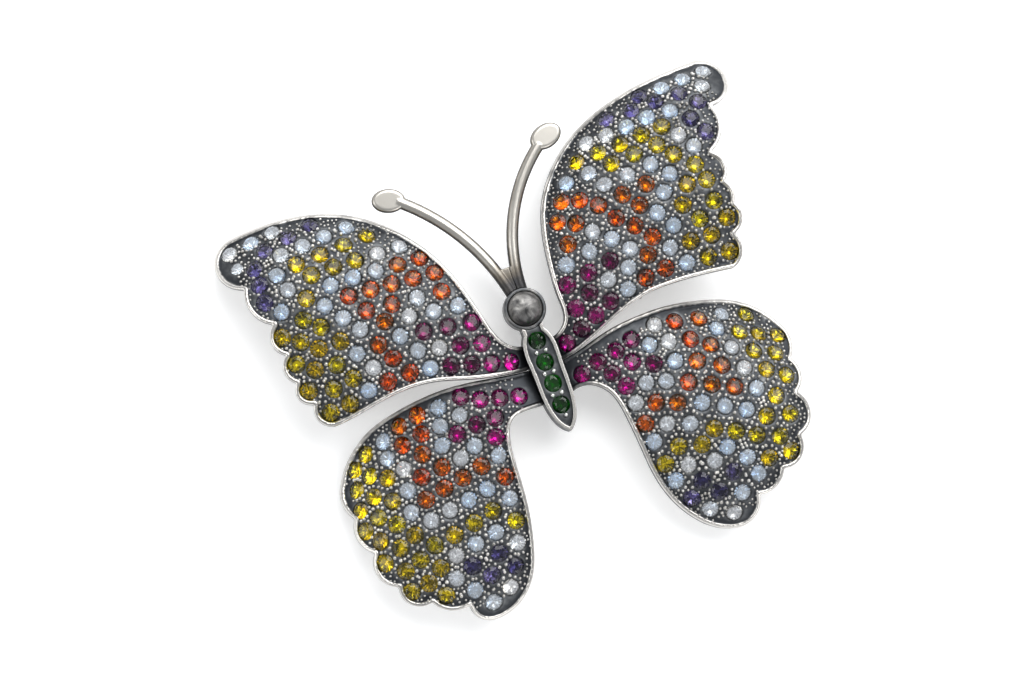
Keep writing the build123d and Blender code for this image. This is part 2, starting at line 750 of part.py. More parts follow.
pin_tip = pin_length + pin_overhang
with BuildPart() as pin:
    with BuildSketch(sideways(rivet_point, -eye_width / 2)):
        Circle(eye_radius)
    extrude(amount=eye_width)
    with BuildSketch(sideways(rivet_point)):
        with BuildLine():
            Polyline(
                (0, 0),
                (0, pin_neck_radius),
                (pin_neck_length, pin_radius),
                (pin_tip - pin_end_length, pin_radius),
                (pin_tip - pin_point, pin_end_radius),
                (pin_tip, pin_tip_radius),
                (pin_tip, 0),
                close=True,
            )
        make_face()
    revolve(axis=Axis(rivet_point, along))
    with BuildSketch(sideways(rivet_point, -eye_width / 2)):
        Circle(rivet_radius + rivet_clearance)
    extrude(amount=eye_width, mode=Mode.SUBTRACT)
pieces["pin_stem"] = pin.part

with BuildPart() as catch_ring:
    with BuildSketch(lengthwise(catch_point, -catch_length / 2)):
        Circle(catch_radius)
        with Locations((0, leg_height / 2)):
            Rectangle(post_width, leg_height)
        Circle(roller_radius + roller_clearance, mode=Mode.SUBTRACT)
        with Locations((0, -catch_radius)):
            Rectangle(slot_width, catch_radius * 2, mode=Mode.SUBTRACT)
    extrude(amount=catch_length)
pieces["catch_body"] = under_wing(lower_right, catch_point, catch_base, [catch_ring.part])

collar_start = catch_length / 2 + roller_clearance
with BuildPart() as roller:
    with BuildSketch(lengthwise(catch_point, -collar_start - collar_thickness)):
        Circle(roller_radius)
    extrude(amount=(collar_start + collar_thickness) * 2)
    for shift in (-collar_start - collar_thickness, collar_start):
        with BuildSketch(lengthwise(catch_point, shift)):
            Circle(collar_radius)
            if shift > 0:
                with Locations(Location((0, 0), lever_angle)):
                    SlotCenterPoint((lever_length / 2, 0), (lever_length - lever_width / 2, 0), lever_width)
        extrude(amount=collar_thickness)
    with BuildSketch(lengthwise(catch_point, -collar_start - collar_thickness)):
        Circle(slot_width / 2)
        with Locations((0, -collar_radius)):
            Rectangle(slot_width, collar_radius * 2)
    extrude(amount=(collar_start + collar_thickness) * 2, mode=Mode.SUBTRACT)
pieces["catch_roller"] = roller.part

# --- Into the shared frame: middle of the brooch's box in plan, standing on its lowest point ---------------
box = Compound(list(pieces.values())).bounding_box()
frame_shift = Vector(-box.center().X, -box.center().Y, -box.min.Z)
os.makedirs("parts", exist_ok=True)
for name, piece in pieces.items():
    placed = piece.moved(Location(frame_shift))
    placed.label = name
    export_step(placed, f"parts/{name}.step")
print("frame shift", frame_shift, "size", box.size)
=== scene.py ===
import random
from math import cos, hypot, pi, radians, sin, sqrt

import bmesh
import bpy
import numpy as np
from mathutils import Matrix, Vector
from mathutils.bvhtree import BVHTree
from mathutils.kdtree import KDTree


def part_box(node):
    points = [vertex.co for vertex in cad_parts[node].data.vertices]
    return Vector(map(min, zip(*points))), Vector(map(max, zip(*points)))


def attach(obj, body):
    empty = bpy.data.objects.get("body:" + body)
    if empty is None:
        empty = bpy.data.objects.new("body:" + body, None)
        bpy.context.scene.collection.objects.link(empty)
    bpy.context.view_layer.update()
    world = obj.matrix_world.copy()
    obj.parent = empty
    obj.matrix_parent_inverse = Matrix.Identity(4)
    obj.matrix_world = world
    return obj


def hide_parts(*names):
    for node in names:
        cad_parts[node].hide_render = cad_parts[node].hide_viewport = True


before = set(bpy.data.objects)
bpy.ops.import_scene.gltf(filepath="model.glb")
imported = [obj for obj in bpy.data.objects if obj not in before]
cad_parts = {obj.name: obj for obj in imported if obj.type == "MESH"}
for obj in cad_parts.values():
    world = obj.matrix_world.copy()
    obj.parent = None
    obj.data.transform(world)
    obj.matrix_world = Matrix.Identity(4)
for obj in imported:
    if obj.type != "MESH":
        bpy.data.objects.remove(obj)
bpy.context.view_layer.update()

MM = 0.001
ROOT = "brooch"
WINGS = ("upper_left", "upper_right", "lower_left", "lower_right")
COLOURS = ("yellow", "orange", "opal", "violet", "magenta")

BODY_LOW, BODY_HIGH = (Vector(corner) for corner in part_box("body_channel"))
BODY_TAIL = 7.6 * MM  # the body's tail and top as measured from the plan's origin,
BODY_TOP = 5.9 * MM  # which is the middle of the body, between its second and third stone
PLAN = Vector(((BODY_LOW.x + BODY_HIGH.x) / 2, BODY_LOW.y + BODY_TAIL, BODY_HIGH.z - BODY_TOP))


# --- Meshes ------------------------------------------------------------------------------------------------
WELD = 1e-7
SAME_PLANE = 0.9999  # cosine of the angle between two normals


def new_object(name, mesh, *materials):
    made = bpy.data.objects.new(name, mesh)
    bpy.context.scene.collection.objects.link(made)
    for material in materials:
        mesh.materials.append(material)
    return made


def stand_for(piece, node):
    """Rides a piece on the brooch in the place of a CAD node."""
    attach(piece, ROOT)
    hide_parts(node)


def welded(node):
    """A bmesh of a CAD node with its split vertices joined."""
    bm = bmesh.new()
    bm.from_mesh(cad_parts[node].data)
    bmesh.ops.remove_doubles(bm, verts=bm.verts, dist=WELD)
    return bm


def surface(node):
    """A CAD node's surface, for casting rays onto."""
    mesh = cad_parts[node].data
    points = [vert.co for vert in mesh.vertices]
    return BVHTree.FromPolygons(points, [face.vertices for face in mesh.polygons])


def islands(bm):
    """The faces of each separate solid."""
    seen = set()
    for first in bm.verts:
        if first in seen or not first.link_faces:
            continue
        stack, faces = [first], set()
        seen.add(first)
        while stack:
            vert = stack.pop()
            faces.update(vert.link_faces)
            for edge in vert.link_edges:
                other = edge.other_vert(vert)
                if other not in seen:
                    seen.add(other)
                    stack.append(other)
        yield list(faces)


def stone_frames(node):
    """Each stone of a CAD node as (table centre, axis, diameter)."""
    bm = welded(node)
    found = []
    for faces in islands(bm):
        normals = np.array([face.normal for face in faces])
        areas = np.array([face.calc_area() for face in faces])
        alike = normals @ normals.T > SAME_PLANE
        table = alike[np.argmax(alike @ areas)]
        axis = Vector((normals[table] * areas[table, None]).sum(0)).normalized()
        corners = {vert for face, flat in zip(faces, table) if flat for vert in face.verts}
        centre = sum((vert.co for vert in corners), Vector()) / len(corners)
        across = [vert.co - centre for face in faces for vert in face.verts]
        radius = max((offset - axis * offset.dot(axis)).length for offset in across)
        found.append((centre, axis, radius * 2))
    bm.free()
    return found


# --- Stones: round brilliants ------------------------------------------------------------------------------
# Radii and depths are shares of the stone's diameter.
TABLE = 0.28
STAR = 0.385
GIRDLE = 0.5
LOWER_HALF = 0.11
CROWN_DEPTH = 0.15
GIRDLE_DEPTH = 0.016
PAVILION_DEPTH = 0.42

SPREAD = 1.035  # the cut stones fill the clearance of their seats
LEAN = 0.035  # how far a stone's axis may stand off its seat's
PAINTED_GLINTS = (0.3, 0.55, 0.85, 1.0, 1.0, 1.0)  # painted glints and painted shade: how bright each facet is made, at random, in place of the light it catches


def brilliant():
    """Points and faces of a brilliant, table at z = 0, and how many faces its crown and girdle have."""
    slope = CROWN_DEPTH / (GIRDLE - TABLE)
    half = pi / 8
    points, faces = [], []

    def ring(radius, z, turn, count):
        start = len(points)
        for step in range(count):
            angle = 2 * pi * step / count + turn
            points.append((radius * cos(angle), radius * sin(angle), z))
        return [start + step for step in range(count)]

    table = ring(TABLE, 0, 0, 8)
    stars = ring(STAR, -(STAR * cos(half) - TABLE) * slope, half, 8)
    upper = ring(GIRDLE, -CROWN_DEPTH, 0, 16)
    below = CROWN_DEPTH + GIRDLE_DEPTH
    lower = ring(GIRDLE, -below, 0, 16)
    rise = PAVILION_DEPTH * (1 - LOWER_HALF * cos(half) / GIRDLE)
    halves = ring(LOWER_HALF, -below - rise, half, 8)
    culet = ring(0, -below - PAVILION_DEPTH, 0, 1)[0]
    faces.append(table)
    for k in range(8):
        after = (k + 1) % 8
        here, middle, there = upper[2 * k], upper[2 * k + 1], upper[(2 * k + 2) % 16]
        faces.append([table[after], table[k], stars[k]])
        faces.append([table[k], stars[k - 1], here, stars[k]])
        faces.append([stars[k], here, middle])
        faces.append([stars[k], middle, there])
    for k in range(16):
        after = (k + 1) % 16
        faces.append([upper[after], upper[k], lower[k], lower[after]])
    crown_count = len(faces)
    for k in range(8):
        here, middle, there = lower[2 * k], lower[2 * k + 1], lower[(2 * k + 2) % 16]
        faces.append([culet, halves[k], here, halves[k - 1]])
        faces.append([halves[k], middle, here])
        faces.append([halves[k], there, middle])
    return points, faces, crown_count


def set_stones(node, crown, pavilion, seed):
    """One mesh of faceted stones where a CAD node's plain stones stand."""
    chance = random.Random(seed)
    shape, faces, crown_count = brilliant()
    points, polygons, slots, facet_glints, hues, edges = [], [], [], [], [], []
    for centre, axis, diameter in stone_frames(node):
        tilt = Vector((chance.uniform(-1, 1), chance.uniform(-1, 1), 0)) * LEAN
        turn = Matrix.Rotation(chance.uniform(0, pi / 4), 3, "Z")
        stand = (axis + tilt).normalized().to_track_quat("Z", "Y").to_matrix() @ turn
        start = len(points)
        hue = chance.random()
        for point in shape:
            points.append(centre + stand @ (Vector(point) * diameter * SPREAD))
            hues.append(hue)
            edges.append(hypot(point[0], point[1]) / GIRDLE)
        polygons += [[start + index for index in face] for face in faces]
        slots += [int(index >= crown_count) for index in range(len(faces))]
        # each facet gets a random share of the foil's colour, painted glints and painted shade
        facet_glints += [chance.choice(PAINTED_GLINTS) for _ in faces]
    mesh = bpy.data.meshes.new(node + "_cut")
    mesh.from_pydata(points, [], polygons)
    mesh.polygons.foreach_set("material_index", slots)
    values = {"tint": ("POINT", hues), "edge": ("POINT", edges), "facet": ("FACE", facet_glints)}
    for name, (domain, numbers) in values.items():
        mesh.attributes.new(name, "FLOAT", domain).data.foreach_set("value", numbers)
    mesh.update()
    stand_for(new_object(node + "_cut", mesh, crown, pavilion), node)


# --- Grains: the small beads raised between the stones -----------------------------------------------------
DOME_RADIUS = 13 * MM  # of the wings' domed surface
SURFACE_BELOW_TABLE = 0.14  # share of a stone's diameter between its table and the metal's surface
NEIGHBOUR_REACH = 3.6 * MM  # between the middles of two neighbouring stones
GAP_REACH = 2.1 * MM  # from a gap's middle to the stones' middles round it

GRAIN = 0.2 * MM  # a grain's radius
GRAIN_SIZES = (0.88, 1.12)  # shares of GRAIN
GRAIN_STRETCH = ((0.9, 1.1), (0.9, 1.1), (0.95, 1.2))  # along X, Y and the grain's own axis
GRAIN_RISE = 0.35  # share of its radius that a grain's middle is above the metal
ONE_GRAIN = 0.27 * MM  # the free radius up to which a gap has one grain, and two
TWO_GRAINS = 0.38 * MM
GRAIN_INSET = 0.09 * MM  # from the edge of the gap's free circle
GRAIN_SPREAD = 0.42 * MM
EDGE_GRAIN_GAP = 0.12 * MM  # along the outermost stones
STRAY = 0.24 * MM  # how far from the metal a grain may be placed

FILLER_TRIES = 12000
FILLER_SIZES = (0.6, 0.85)  # shares of GRAIN
FILLER_GAP = 0.42 * MM  # between two grains
FILLER_REACH = 2.4 * MM  # from the nearest stone's middle
FILLER_STONE_GAP = 0.14 * MM
FILLER_LIFT = 0.12 * MM  # how far off the domed ground, which keeps the rim free


def circumcentre(a, b, c):
    ab, ac = b - a, c - a
    across = ab.cross(ac)
    size = across.length_squared
    if size < 1e-18:  # the three stand in a line
        return None
    return a + (across.cross(ab) * ac.length_squared + ac.cross(across) * ab.length_squared) / (2 * size)


def gaps(stones):
    """The empty circles between three neighbouring stones: (centre, normal, radius, corner indexes)."""
    seats = [centre - axis * diameter * SURFACE_BELOW_TABLE for centre, axis, diameter in stones]
    near = [
        [j for j in range(i + 1, len(seats)) if (seats[i] - seats[j]).length < NEIGHBOUR_REACH]
        for i in range(len(seats))
    ]
    for i, beside in enumerate(near):
        for j in beside:
            for k in (k for k in near[j] if k in beside):
                centre = circumcentre(seats[i], seats[j], seats[k])
                if centre is None:
                    continue
                reach = (centre - seats[i]).length
                others = (seats[m] for m in range(len(seats)) if m not in (i, j, k))
                if reach < GAP_REACH and all((seat - centre).length > reach * 0.999 for seat in others):
                    normal = (stones[i][1] + stones[j][1] + stones[k][1]).normalized()
                    yield centre, normal, reach, (i, j, k)


def grain_places(stones, chance):
    """Where the grains stand, as (point on the metal, normal, radius)."""
    places, edges = [], {}
    seats = [centre - axis * diameter * SURFACE_BELOW_TABLE for centre, axis, diameter in stones]
    for centre, normal, reach, corners in gaps(stones):
        free = reach - sum(stones[index][2] for index in corners) / 6
        count = 1 if free < ONE_GRAIN else 2 if free < TWO_GRAINS else 3
        spread = 0.0 if count == 1 else min(free - GRAIN_INSET, GRAIN_SPREAD)
        first = chance.randrange(3)
        for step in range(count):
            corner = seats[corners[(first + step) % 3]]
            away = centre - corner
            away = (away - normal * away.dot(normal)).normalized()
            places.append((centre + away * spread, normal, GRAIN * chance.uniform(*GRAIN_SIZES)))
        for a, b in ((0, 1), (1, 2), (0, 2)):
            edges.setdefault((corners[a], corners[b]), []).append(centre)
    for (i, j), centres in edges.items():
        if len(centres) > 1:
            continue
        middle = (seats[i] + seats[j]) / 2
        normal = (stones[i][1] + stones[j][1]).normalized()
        outward = (seats[j] - seats[i]).cross(normal).normalized()
        if outward.dot(centres[0] - middle) > 0:
            outward = -outward
        half = (seats[j] - seats[i]).length / 2
        ring = (stones[i][2] + stones[j][2]) / 4 + EDGE_GRAIN_GAP
        rise = sqrt(max(ring**2 - half**2, 0)) + EDGE_GRAIN_GAP
        places.append((middle + outward * rise, normal, GRAIN * chance.uniform(*GRAIN_SIZES)))
    return places


def filler_places(stones, beads, ground, chance):
    """Smaller grains scattered over the metal that the stones and the other grains leave free."""
    seats = [centre - axis * diameter * SURFACE_BELOW_TABLE for centre, axis, diameter in stones]
    low, high = (Vector([pick(seat[axis] for seat in seats) for axis in range(3)]) for pick in (min, max))
    tree = KDTree(len(seats))
    for order, seat in enumerate(seats):
        tree.insert(seat, order)
    tree.balance()
    taken = [point for point, _, _ in beads]
    places = []
    for _ in range(FILLER_TRIES):
        x, y = chance.uniform(low.x, high.x), chance.uniform(low.y, high.y)
        hit = ground.ray_cast(Vector((x, y, high.z + 2 * MM)), Vector((0, 0, -1)))[0]
        if hit is None:
            continue
        seat, order, away = tree.find(hit)
        _, axis, diameter = stones[order]
        lift = (hit - seat).dot(axis) + away**2 / (2 * DOME_RADIUS)
        if away > FILLER_REACH or abs(lift) > FILLER_LIFT or away < diameter / 2 + FILLER_STONE_GAP:
            continue
        if any(abs(hit.x - bead.x) < FILLER_GAP and (hit - bead).length < FILLER_GAP for bead in taken):
            continue
        taken.append(hit)
        places.append((hit, axis, GRAIN * chance.uniform(*FILLER_SIZES)))
    return places


def add_grains(name, places, ground, material):
    """One mesh of slightly uneven beads that stand in the metal."""
    chance = random.Random(name)
    bm = bmesh.new()
    for point, normal, radius in places:
        hit, _, _, distance = ground.ray_cast(point + normal * MM, -normal, 2 * MM)
        if hit is None or abs(distance - MM) > STRAY:
            continue
        stand = normal.to_track_quat("Z", "Y").to_matrix().to_4x4()
        stretch = Matrix.Diagonal([chance.uniform(least, most) for least, most in GRAIN_STRETCH] + [1])
        place = Matrix.Translation(hit + normal * radius * GRAIN_RISE) @ stand @ stretch
        bmesh.ops.create_icosphere(bm, subdivisions=2, radius=radius, matrix=place)
    for face in bm.faces:
        face.smooth = True
    mesh = bpy.data.meshes.new(name)
    bm.to_mesh(mesh)
    bm.free()
    piece = new_object(name, mesh, material)
    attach(piece, ROOT)


# --- Castings ----------------------------------------------------------------------------------------------
SMOOTHING = 0.6  # share of its neighbours in a point's new place
SOFTEN_ROUNDS = 2
CURVE_REACH = 0.35 * MM
CURVE_HEIGHT = 0.05 * MM


def smoothed(points, edges, rounds):
    """Points after some rounds of averaging along the edges."""
    ends = np.concatenate([edges, edges[:, ::-1]])
    count = np.bincount(ends[:, 0], minlength=len(points))[:, None]
    for _ in range(rounds):
        beside = points[ends[:, 1]]
        total = np.stack([np.bincount(ends[:, 0], beside[:, axis], len(points)) for axis in range(3)], 1)
        points = points * (1 - SMOOTHING) + total / np.maximum(count, 1) * SMOOTHING
    return points


def curvature(points, edges, normals, voxel):
    """How far each point stands out of its smoothed surroundings, as a share of CURVE_HEIGHT."""
    rounds = int((CURVE_REACH / voxel) ** 2 * 4)
    return ((points - smoothed(points, edges, rounds)) * normals).sum(1) / CURVE_HEIGHT


def casting(node, material, voxel, wear_and_shade_of):
    """A CAD node with its edges rounded as in a casting.

    Its brightness attribute, worked out by the given function, says how bright each point is: worn bright by
    handling, and on some pieces also painted shade and painted highlights.
    """
    source = new_object(node + "_source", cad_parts[node].data.copy())
    remesh = source.modifiers.new("skin", "REMESH")
    remesh.mode, remesh.voxel_size, remesh.use_smooth_shade = "VOXEL", voxel, True
    bpy.context.view_layer.update()
    depsgraph = bpy.context.evaluated_depsgraph_get()
    mesh = bpy.data.meshes.new_from_object(source.evaluated_get(depsgraph))
    bpy.data.objects.remove(source)
    points = np.empty(len(mesh.vertices) * 3)
    mesh.vertices.foreach_get("co", points)
    points = points.reshape(-1, 3)
    edges = np.empty(len(mesh.edges) * 2, int)
    mesh.edges.foreach_get("vertices", edges)
    edges = edges.reshape(-1, 2)
    points = smoothed(points, edges, SOFTEN_ROUNDS)
    mesh.vertices.foreach_set("co", points.ravel())
    mesh.update()
    normals = np.empty(len(points) * 3)
    mesh.vertices.foreach_get("normal", normals)
    normals = normals.reshape(-1, 3)
    wear_and_shade = wear_and_shade_of(points, normals, curvature(points, edges, normals, voxel))
    mesh.attributes.new("wear_and_shade", "FLOAT", "POINT").data.foreach_set("value", np.clip(wear_and_shade, -1, 1))
    mesh.materials.clear()
    piece = new_object(node + "_cast", mesh, material)
    for polygon in mesh.polygons:
        polygon.use_smooth = True
    stand_for(piece, node)


# --- Materials ---------------------------------------------------------------------------------------------
class Nodes:
    """A material's node tree, with short calls for the nodes used here."""

    def __init__(self, name):
        self.material = bpy.data.materials.new(name)
        self.material.use_nodes = True
        self.tree = self.material.node_tree
        self.tree.nodes.clear()
        self.shader = self.add("ShaderNodeBsdfPrincipled")
        output = self.add("ShaderNodeOutputMaterial")
        self.link(self.shader.outputs["BSDF"], output.inputs["Surface"])

    def add(self, kind, **settings):
        node = self.tree.nodes.new(kind)
        for key, value in settings.items():
            setattr(node, key, value)
        return node

    def link(self, source, target):
        self.tree.links.new(source, target)

    def set(self, **inputs):
        for key, value in inputs.items():
            socket = self.shader.inputs[key.replace("_", " ")]
            if isinstance(value, bpy.types.NodeSocket):
                self.link(value, socket)
            else:
                socket.default_value = value

    def noise(self, scale, detail=3.0, roughness=0.55, distortion=0.0):
        node = self.add("ShaderNodeTexNoise")
        self.link(self.add("ShaderNodeTexCoord").outputs["Object"], node.inputs["Vector"])
        node.inputs["Scale"].default_value = scale
        node.inputs["Detail"].default_value = detail
        node.inputs["Roughness"].default_value = roughness
        node.inputs["Distortion"].default_value = distortion
        return node.outputs["Fac"]

    def attribute(self, name):
        return self.add("ShaderNodeAttribute", attribute_name=name).outputs["Fac"]

    def math(self, operation, a, b):
        node = self.add("ShaderNodeMath", operation=operation)
        for value, socket in zip((a, b), node.inputs):
            if isinstance(value, bpy.types.NodeSocket):
                self.link(value, socket)
            else:
                socket.default_value = value
        return node.outputs["Value"]

    def span(self, value, low, high, to_low=0.0, to_high=1.0):
        node = self.add("ShaderNodeMapRange", interpolation_type="SMOOTHSTEP")
        self.link(value, node.inputs["Value"])
        for key, number in (("From Min", low), ("From Max", high), ("To Min", to_low), ("To Max", to_high)):
            node.inputs[key].default_value = number
        return node.outputs["Result"]

    def ramp(self, value, *stops):
        node = self.add("ShaderNodeValToRGB")
        self.link(value, node.inputs["Fac"])
        ramp = node.color_ramp
        while len(ramp.elements) < len(stops):
            ramp.elements.new(0.5)
        for element, (place, colour) in zip(ramp.elements, stops):
            element.position = place
            element.color = (*colour, 1)
        return node.outputs["Color"]

    def mix(self, share, low, high):
        node = self.add("ShaderNodeMix", data_type="RGBA")
        self.link(share, node.inputs[0])
        for colour, socket in ((low, node.inputs[6]), (high, node.inputs[7])):
            if isinstance(colour, bpy.types.NodeSocket):
                self.link(colour, socket)
            else:
                socket.default_value = (*colour, 1)
        return node.outputs[2]

    def bump(self, height, strength, distance):
        node = self.add("ShaderNodeBump")
        self.link(height, node.inputs["Height"])
        node.inputs["Strength"].default_value = strength
        node.inputs["Distance"].default_value = distance
        self.link(node.outputs["Normal"], self.shader.inputs["Normal"])


def worn_silver(name, scales, patchiness, wear, colours, roughness, fine_share, relief):
    """Silver with tarnish in its recesses, worn bright where its brightness attribute is high; on some
    pieces that attribute also carries painted shade and painted highlights.
    """
    made = Nodes(name)
    cloud, fine = made.noise(scales[0], 4), made.noise(scales[1], 3)
    patches = made.math("MULTIPLY", made.math("SUBTRACT", cloud, 0.5), patchiness)
    # the attribute holds wear, and on the wings, body and stems also painted shade and painted highlights
    wear_and_shade_level = made.span(made.math("ADD", made.attribute("wear_and_shade"), patches), *wear)
    made.set(Base_Color=made.ramp(wear_and_shade_level, *colours), Metallic=1.0, Roughness=made.span(wear_and_shade_level, 0, 1, *roughness))
    coarse = made.math("MULTIPLY", cloud, 1 - fine_share)
    made.bump(made.math("ADD", coarse, made.math("MULTIPLY", fine, fine_share)), relief, 0.04 * MM)
    return made.material


def bright_silver(name, dull, bright, roughness):
    """Polished silver with a light tarnish and fine handling marks."""
    made = Nodes(name)
    tarnish = made.noise(500, 4)
    scratches = made.noise(3500, 2, 0.6, 2.0)
    made.set(
        Base_Color=made.ramp(tarnish, (0.3, dull), (0.62, bright)),
        Metallic=1.0,
        Roughness=made.span(scratches, 0.3, 0.7, roughness * 0.7, roughness * 1.4),
    )
    made.bump(scratches, 0.12, 0.03 * MM)
    return made.material


def ball_metal():
    """The head's ball: grey metal with a cloudy, hammered polish."""
    made = Nodes("dark_ball")
    cloud = made.noise(620, 5, 0.6, 0.8)
    fine = made.noise(3200, 3)
    colour = made.ramp(
        cloud,
        (0.34, (0.06, 0.06, 0.06)),
        (0.5, (0.19, 0.185, 0.18)),
        (0.66, (0.42, 0.41, 0.39)),
    )
    made.set(
        Base_Color=colour,
        Metallic=0.9,
        Roughness=made.span(fine, 0.3, 0.7, 0.34, 0.5),
    )
    made.bump(made.math("ADD", cloud, made.math("MULTIPLY", fine, 0.3)), 0.5, 0.12 * MM)
    return made.material


def crown_glass(name, tints, milk, rim):
    """The clear top of a stone, tinted differently from stone to stone, and with painted shade towards its
    girdle that stands in for the girdle's shadow.
    """
    made = Nodes(name + "_crown")
    edge = made.span(made.attribute("edge"), 0.72, 1.0)
    middle = made.ramp(made.attribute("tint"), *tints)
    made.set(
        # painted shade: the crown's colour turns to the dark rim colour towards the girdle
        Base_Color=made.mix(edge, middle, rim),
        Roughness=0.0,
        IOR=1.5,
        Specular_IOR_Level=0.15,
        Transmission_Weight=made.span(edge, 0, 1, 1 - milk, 1.0),
    )
    return made.material


def pavilion_foil(name, tints):
    """The silvered back of a stone, seen through its top: each facet's colour is darkened at random, painted
    shade and glints in place of the light each facet catches.
    """
    made = Nodes(name + "_pavilion")
    colour = made.ramp(made.attribute("tint"), *tints)
    made.set(
        # painted glints and painted shade: each facet's share darkens the foil colour
        Base_Color=made.mix(made.attribute("facet"), (0.0, 0.0, 0.0), colour),
        Metallic=1.0,
        Roughness=0.12,
    )
    return made.material


def tints(*colours):
    """Colours evenly spread over the stones' tint attribute."""
    return [(index / max(len(colours) - 1, 1), colour) for index, colour in enumerate(colours)]


# Each colour's tints of the crown, tints of the foil, and darker colour towards the girdle, painted shade in
# place of the girdle's shadow.
STONES = {
    "yellow": (
        tints((1.0, 0.94, 0.36), (1.0, 0.98, 0.44)),
        tints((0.98, 0.82, 0.04), (1.0, 0.92, 0.12)),
        (0.46, 0.38, 0.04),
    ),
    "orange": (
        tints((1.0, 0.68, 0.16), (1.0, 0.78, 0.22)),
        tints((1.0, 0.34, 0.01), (1.0, 0.54, 0.03)),
        (0.40, 0.10, 0.01),
    ),
    "opal": (
        tints((0.80, 0.90, 1.0), (0.96, 0.97, 1.0)),
        tints((0.72, 0.84, 1.0), (0.94, 0.94, 0.92)),
        (0.60, 0.56, 0.50),
    ),
    "violet": (
        tints((0.70, 0.70, 0.88), (0.80, 0.78, 0.92)),
        tints((0.24, 0.22, 0.42), (0.46, 0.42, 0.62)),
        (0.20, 0.19, 0.30),
    ),
    "magenta": (
        tints((0.92, 0.50, 0.84), (0.98, 0.56, 0.86)),
        tints((0.44, 0.01, 0.30), (0.80, 0.05, 0.58)),
        (0.26, 0.05, 0.18),
    ),
    "green": (
        tints((0.42, 0.86, 0.36), (0.46, 0.92, 0.36)),
        tints((0.02, 0.24, 0.015), (0.05, 0.44, 0.02)),
        (0.08, 0.22, 0.06),
    ),
}
MILK = {"opal": 0.25}  # share of the crown that scatters light instead of letting it through

# Its dark tones stand for tarnish, and on the wings and body also for the painted shade carried by the
# brightness attribute.
silver = worn_silver(
    "oxidised_silver",
    scales=(900, 6000),
    patchiness=0.7,
    wear=(-0.12, 0.8),
    colours=(
        (0.0, (0.042, 0.045, 0.050)),
        (0.3, (0.125, 0.13, 0.135)),
        (0.65, (0.32, 0.31, 0.295)),
        (1.0, (0.60, 0.58, 0.55)),
    ),
    roughness=(0.45, 0.26),
    fine_share=0.3,
    relief=0.35,
)
# Its light tones also paint the stems' highlight on top, which the brightness attribute sets by how the
# surface faces.
antenna_silver_painted_sheen = worn_silver(
    "stem_silver_painted_sheen",
    scales=(800, 5000),
    patchiness=0.5,
    wear=(0.0, 1.0),
    colours=(
        (0.0, (0.055, 0.055, 0.058)),
        (0.35, (0.17, 0.15, 0.125)),
        (0.7, (0.36, 0.335, 0.295)),
        (1.0, (0.56, 0.535, 0.49)),
    ),
    roughness=(0.42, 0.3),
    fine_share=0.2,
    relief=0.3,
)
grain_silver = bright_silver("grain_silver", (0.28, 0.27, 0.25), (0.66, 0.64, 0.61), 0.28)
fitting_silver = bright_silver("fitting_silver", (0.20, 0.20, 0.20), (0.50, 0.49, 0.48), 0.34)
pin_metal = bright_silver("pin_metal", (0.55, 0.55, 0.54), (0.82, 0.81, 0.79), 0.25)
ball = ball_metal()
glass, foil = {}, {}
for colour, (crown_tints, foil_tints, girdle_shade_colour) in STONES.items():
    glass[colour] = crown_glass(colour, crown_tints, MILK.get(colour, 0.0), girdle_shade_colour)
    foil[colour] = pavilion_foil(colour, foil_tints)

# --- Wings -------------------------------------------------------------------------------------------------
# Which way each wing's leading edge lies; the wing gets painted shade along it, where it slopes down into
# shadow.
SHADED_LEADING_SIDE = {
    "upper_left": (0.6, 0.8),
    "upper_right": (-0.6, 0.8),
    "lower_left": (0.1, 1.0),
    "lower_right": (-0.1, 1.0),
}
STONE_HEIGHT = 0.27 * MM  # a stone's table above the metal's surface
WING_VOXEL = 0.125 * MM
RIM_FROM, RIM_TO = 0.12 * MM, 0.28 * MM  # heights above the ground between which the rim turns bright
EDGE_WEAR = 0.12  # how much the curvature of a casting adds


def rising(values, low, high):
    """0 up to low, 1 from high on, and straight between."""
    return np.clip((values - low) / (high - low), 0, 1)


def worn_and_shaded(wing, stones):
    """How bright a wing is: worn bright on its rim and back, darker towards its root, and with painted shade
    along its leading edge, where the wing slopes down into shadow.
    """
    low, high = (np.array(corner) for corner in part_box(f"{wing}_wing"))
    middle, half = (low + high)[:2] / 2, (high - low)[:2] / 2
    side = np.array(SHADED_LEADING_SIDE[wing])
    tables = np.array([centre for centre, _, _ in stones])
    axes = np.array([axis for _, axis, _ in stones])
    tree = KDTree(len(stones))
    for order, centre in enumerate(tables):
        tree.insert(centre, order)
    tree.balance()

    def share(points, normals, curved):
        nearest = np.array([tree.find(point)[1] for point in points])
        offset = points - tables[nearest]
        height = (offset * axes[nearest]).sum(1)
        away = (offset**2).sum(1) - height**2
        above = height + STONE_HEIGHT + away / (2 * DOME_RADIUS)
        toward_shaded_edge = ((points[:, :2] - middle) / half) @ side
        body_distance = np.hypot(points[:, 0] - PLAN.x, points[:, 1] - PLAN.y)
        off_body = rising(body_distance, 3 * MM, 8 * MM)
        # painted shade: the rim is darkened towards the leading edge
        rim = rising(above, RIM_FROM, RIM_TO) * (0.9 - 0.58 * rising(toward_shaded_edge, 0.35, 0.85))
        front = rim * (0.45 + 0.55 * off_body) - 0.15 * (1 - off_body) + EDGE_WEAR * np.clip(curved, -1, 1)
        back = rising(-normals[:, 2], 0, 0.4)
        return front * (1 - back) + 0.62 * back

    return share


